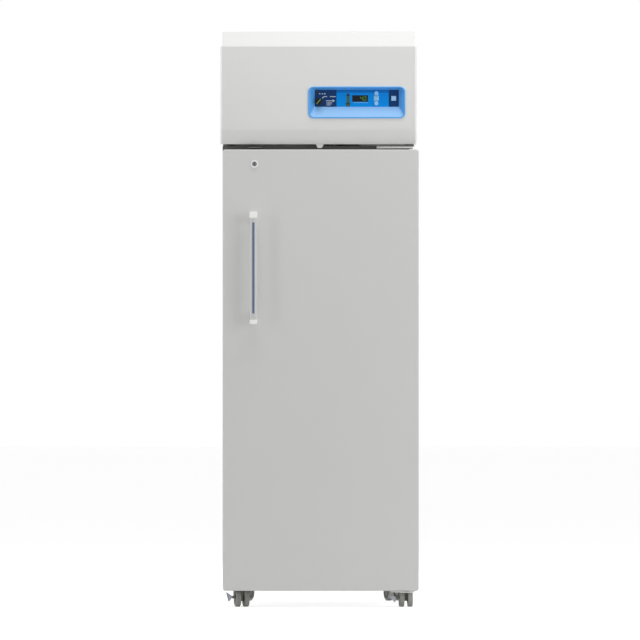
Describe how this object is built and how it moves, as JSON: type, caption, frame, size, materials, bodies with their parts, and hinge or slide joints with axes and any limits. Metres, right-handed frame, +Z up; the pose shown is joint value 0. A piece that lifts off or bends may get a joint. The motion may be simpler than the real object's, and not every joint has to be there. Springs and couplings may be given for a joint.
{
  "type": "laboratory refrigerator",
  "caption": "Upright laboratory refrigerator with a solid insulated door, a machine compartment behind a lifting fascia with a control panel, wire shelves and casters.",
  "frame": {"origin": "on the floor, under the middle of the refrigerator's bounding box", "axes": "+X to the right seen from the front, +Y to the rear, +Z up; the door faces -Y"},
  "size_m": [0.617, 0.752, 1.792],
  "materials": {
    "cabinet_paint": "light grey baked enamel with a fine orange peel",
    "door_paint": "light grey baked enamel, satin",
    "fascia_paint": "light grey baked enamel, satin",
    "cap_plastic": "near-white moulded plastic",
    "plated_steel": "zinc-plated steel",
    "bright_steel": "bright steel",
    "lock_metal": "worn plated lock plug",
    "foam": "foamed-in-place insulation",
    "liner_plastic": "white vacuum-formed liner",
    "gasket_rubber": "pale grey magnetic gasket",
    "white_nylon": "white nylon",
    "handle_plastic": "pale grey moulded plastic",
    "handle_insert": "blue-grey insert strip",
    "bezel_blue": "bright blue moulded plastic",
    "faceplate_film": "printed membrane in two blues",
    "display_black": "black display window with green digits",
    "key_blue": "light blue key caps",
    "black_plastic": "black moulded plastic",
    "black_enamel": "black enamel",
    "copper_and_fins": "copper tube and fins",
    "fin_aluminium": "aluminium fins",
    "shelf_coating": "white epoxy-coated wire",
    "light_diffuser": "opal diffuser",
    "clear_bottle": "clear bottle",
    "caster_metal": "dark grey pressed steel",
    "pedal_metal": "grey pressed steel",
    "wheel_tread": "grey-brown tread"
  },
  "bodies": {
    "cabinet": {"outer_case": "cabinet_paint", "back_panel": "cabinet_paint", "base_pan": "plated_steel", "insulation": "foam", "liner": "liner_plastic", "breaker_frame": "liner_plastic", "lock_keeper": "plated_steel", "upper_hinge": "plated_steel", "lower_hinge": "plated_steel", "caster_plates": "plated_steel", "header_sides": "cabinet_paint", "top_cover": "cabinet_paint", "rear_grille": "cabinet_paint", "power_inlet": "black_plastic", "compressor": "black_enamel", "condenser": "copper_and_fins", "condenser_shroud": "black_enamel", "refrigerant_lines": "copper_and_fins", "electrical_box": "plated_steel", "shelf_supports": "bright_steel", "shelves": "shelf_coating", "evaporator_cover": "liner_plastic", "evaporator_coil": "fin_aluminium", "interior_light": "light_diffuser", "probe_bottle": "clear_bottle"},
    "door": {"door_skin": "door_paint", "door_foam": "foam", "door_liner": "liner_plastic", "door_gasket": "gasket_rubber", "hinge_bushes": "white_nylon", "handle_grip": "handle_plastic", "handle_insert": "handle_insert", "handle_mounts": "handle_plastic", "lock_housing": "bright_steel"},
    "lock_plug": {"lock_plug": "lock_metal"},
    "lock_bolt": {"lock_bolt": "bright_steel"},
    "fascia": {"fascia_panel": "fascia_paint", "fascia_end_caps": "cap_plastic", "control_bezel": "bezel_blue", "control_faceplate": "faceplate_film", "display_module": "display_black", "key_switch": "black_plastic"},
    "switch_key": {"switch_key": "bright_steel"},
    "up_key": {"up_key": "key_blue"},
    "menu_key": {"menu_key": "key_blue"},
    "down_key": {"down_key": "key_blue"},
    "light_button": {"light_button": "key_blue"},
    "condenser_fan": {"condenser_fan": "black_plastic"},
    "evaporator_fan": {"evaporator_fan": "black_plastic"},
    "caster_fl": {"caster_fork_fl": "caster_metal"},
    "wheels_fl": {"caster_wheels_fl": "wheel_tread"},
    "pedal_fl": {"brake_pedal_fl": "pedal_metal"},
    "caster_fr": {"caster_fork_fr": "caster_metal"},
    "wheels_fr": {"caster_wheels_fr": "wheel_tread"},
    "pedal_fr": {"brake_pedal_fr": "pedal_metal"},
    "caster_rl": {"caster_fork_rl": "caster_metal"},
    "wheels_rl": {"caster_wheels_rl": "wheel_tread"},
    "caster_rr": {"caster_fork_rr": "caster_metal"},
    "wheels_rr": {"caster_wheels_rr": "wheel_tread"}
  },
  "joints": [
    {"name": "door_hinge", "type": "hinge", "parent": "cabinet", "child": "door", "pos_m": [0.2895, -0.304, 0.053], "axis": [0, 0, 1], "range_deg": [0, 110]},
    {"name": "lock_turn", "type": "hinge", "parent": "door", "child": "lock_plug", "pos_m": [-0.2025, -0.328, 1.38], "axis": [0, 1, 0], "range_deg": [0, 90]},
    {"name": "lock_bolt_slide", "type": "slide", "parent": "door", "child": "lock_bolt", "axis": [0, 0, 1], "range_m": [0, 0.012]},
    {"name": "fascia_lift", "type": "hinge", "parent": "cabinet", "child": "fascia", "pos_m": [-0.0035, -0.268, 1.783], "axis": [-1, 0, 0], "range_deg": [0, 75]},
    {"name": "key_turn", "type": "hinge", "parent": "fascia", "child": "switch_key", "pos_m": [-0.003, -0.31, 1.574], "axis": [0, 1, 0], "range_deg": [-85, 5]},
    {"name": "up_key_press", "type": "slide", "parent": "fascia", "child": "up_key", "axis": [0, 1, 0], "range_m": [0, 0.0012], "stiffness_N_per_m": 800},
    {"name": "menu_key_press", "type": "slide", "parent": "fascia", "child": "menu_key", "axis": [0, 1, 0], "range_m": [0, 0.0012], "stiffness_N_per_m": 800},
    {"name": "down_key_press", "type": "slide", "parent": "fascia", "child": "down_key", "axis": [0, 1, 0], "range_m": [0, 0.0012], "stiffness_N_per_m": 800},
    {"name": "light_button_press", "type": "slide", "parent": "fascia", "child": "light_button", "axis": [0, 1, 0], "range_m": [0, 0.0012], "stiffness_N_per_m": 800},
    {"name": "condenser_fan_spin", "type": "hinge", "parent": "cabinet", "child": "condenser_fan", "pos_m": [-0.1235, -0.129, 1.573], "axis": [0, 1, 0], "continuous": true},
    {"name": "evaporator_fan_spin", "type": "hinge", "parent": "cabinet", "child": "evaporator_fan", "pos_m": [-0.111, 0.026, 1.329], "axis": [0, 1, 0], "continuous": true},
    {"name": "caster_swivel_fl", "type": "hinge", "parent": "cabinet", "child": "caster_fl", "pos_m": [-0.2475, -0.194, 0.055], "axis": [0, 0, 1], "continuous": true},
    {"name": "wheel_spin_fl", "type": "hinge", "parent": "caster_fl", "child": "wheels_fl", "pos_m": [-0.24334, -0.21356, 0.025], "axis": [0.9781, 0.2079, 0], "continuous": true},
    {"name": "brake_fl", "type": "hinge", "parent": "caster_fl", "child": "pedal_fl", "pos_m": [-0.27171, -0.21959, 0.03], "axis": [0.2079, -0.9781, 0], "range_deg": [0, 28]},
    {"name": "caster_swivel_fr", "type": "hinge", "parent": "cabinet", "child": "caster_fr", "pos_m": [0.2675, -0.194, 0.055], "axis": [0, 0, 1], "continuous": true},
    {"name": "wheel_spin_fr", "type": "hinge", "parent": "caster_fr", "child": "wheels_fr", "pos_m": [0.26889, -0.21395, 0.025], "axis": [0.9976, 0.0698, 0], "continuous": true},
    {"name": "brake_fr", "type": "hinge", "parent": "caster_fr", "child": "pedal_fr", "pos_m": [0.23997, -0.21597, 0.03], "axis": [0.0698, -0.9976, 0], "range_deg": [-28, 0]},
    {"name": "caster_swivel_rl", "type": "hinge", "parent": "cabinet", "child": "caster_rl", "pos_m": [-0.2475, 0.294, 0.055], "axis": [0, 0, 1], "continuous": true},
    {"name": "wheel_spin_rl", "type": "hinge", "parent": "caster_rl", "child": "wheels_rl", "pos_m": [-0.2375, 0.31132, 0.025], "axis": [-0.866, 0.5, 0], "continuous": true},
    {"name": "caster_swivel_rr", "type": "hinge", "parent": "cabinet", "child": "caster_rr", "pos_m": [0.2405, 0.294, 0.055], "axis": [0, 0, 1], "continuous": true},
    {"name": "wheel_spin_rr", "type": "hinge", "parent": "caster_rr", "child": "wheels_rr", "pos_m": [0.23205, 0.31213, 0.025], "axis": [-0.9063, -0.4226, 0], "continuous": true}
  ],
  "couplings": [
    {"joint": "lock_turn", "follows": "lock_bolt_slide", "rad_per_m": 130.8}
  ]
}
